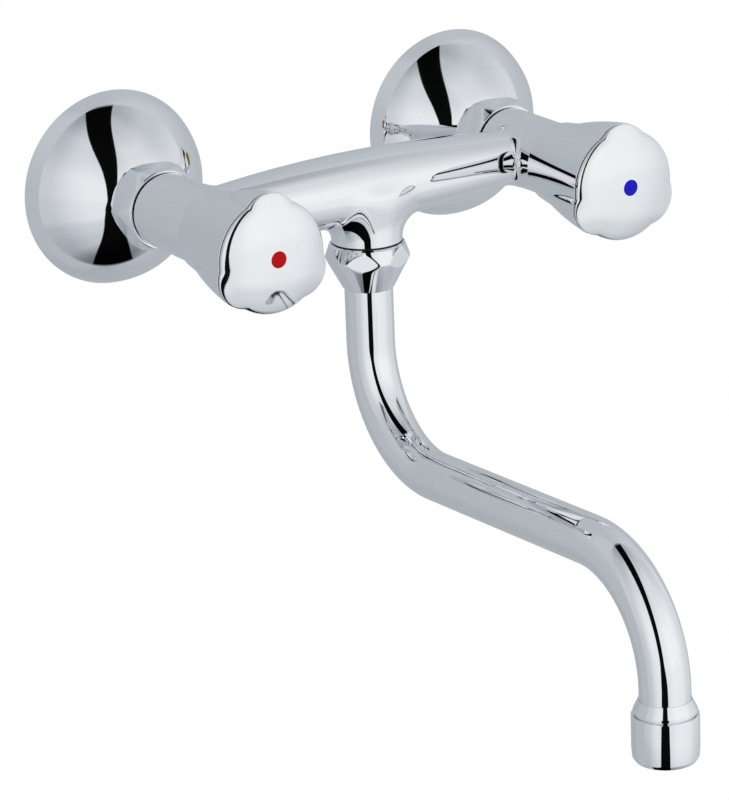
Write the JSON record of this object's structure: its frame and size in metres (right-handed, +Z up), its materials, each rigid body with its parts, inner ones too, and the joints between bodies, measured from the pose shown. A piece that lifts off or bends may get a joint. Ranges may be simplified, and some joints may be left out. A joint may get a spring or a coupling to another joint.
{
  "type": "kitchen tap",
  "caption": "Wall-mounted kitchen mixer tap with two lobed knobs, domed wall plates and a swivelling S-bend spout with aerator.",
  "frame": {"origin": "in the wall plane, midway between the axes of the two wall threads", "axes": "+Z up, +Y into the wall, the tap and its knobs face -Y, hot side at -X"},
  "size_m": [0.2242, 0.2742, 0.2027],
  "materials": {
    "chrome": "polished plating",
    "brass": "turned",
    "steel": "bright zinc",
    "rubber": "matt",
    "fibre": "vulcanised fibre",
    "white_plastic": "satin",
    "red_mark": "gloss",
    "blue_mark": "gloss"
  },
  "bodies": {
    "tap": {"body": "chrome", "spout_nut": "chrome", "slip_ring": "white_plastic", "hot_s_union": "brass", "hot_wall_plate": "chrome", "hot_union_nut": "chrome", "hot_inlet_gasket": "rubber", "hot_headwork": "brass", "hot_headwork_seal": "fibre", "cold_s_union": "brass", "cold_wall_plate": "chrome", "cold_union_nut": "chrome", "cold_inlet_gasket": "rubber", "cold_headwork": "brass", "cold_headwork_seal": "fibre"},
    "hot_handle": {"hot_spindle": "brass", "hot_spindle_orings": "rubber", "hot_spindle_clip": "steel", "hot_knob": "chrome", "hot_knob_screw": "steel", "hot_knob_cap": "chrome", "hot_dot": "red_mark"},
    "hot_valve": {"hot_plunger": "brass", "hot_valve_washer": "rubber", "hot_washer_screw": "brass"},
    "cold_handle": {"cold_spindle": "brass", "cold_spindle_orings": "rubber", "cold_spindle_clip": "steel", "cold_knob": "chrome", "cold_knob_screw": "steel", "cold_knob_cap": "chrome", "cold_dot": "blue_mark"},
    "cold_valve": {"cold_plunger": "brass", "cold_valve_washer": "rubber", "cold_washer_screw": "brass"},
    "spout": {"spout_tube": "chrome", "swivel_sleeve": "brass", "sleeve_orings": "rubber", "outlet_collar": "chrome", "aerator_housing": "chrome", "aerator_gasket": "rubber", "aerator_insert": "white_plastic"}
  },
  "joints": [
    {"name": "hot_turn", "type": "hinge", "parent": "tap", "child": "hot_handle", "pos_m": [-0.075, -0.0588, -0.008], "axis": [0, -1, 0], "range_deg": [0, 540]},
    {"name": "hot_lift", "type": "slide", "parent": "tap", "child": "hot_valve", "axis": [0, -1, 0], "range_m": [0, 0.00375]},
    {"name": "cold_turn", "type": "hinge", "parent": "tap", "child": "cold_handle", "pos_m": [0.075, -0.0588, -0.008], "axis": [0, -1, 0], "range_deg": [0, 540]},
    {"name": "cold_lift", "type": "slide", "parent": "tap", "child": "cold_valve", "axis": [0, -1, 0], "range_m": [0, 0.00375]},
    {"name": "swivel", "type": "hinge", "parent": "tap", "child": "spout", "pos_m": [0, -0.0588, -0.008], "axis": [0, 0, 1], "range_deg": [-100, 100]}
  ],
  "couplings": [
    {"joint": "hot_lift", "follows": "hot_turn", "m_per_rad": 0.00039789},
    {"joint": "cold_lift", "follows": "cold_turn", "m_per_rad": 0.00039789}
  ]
}
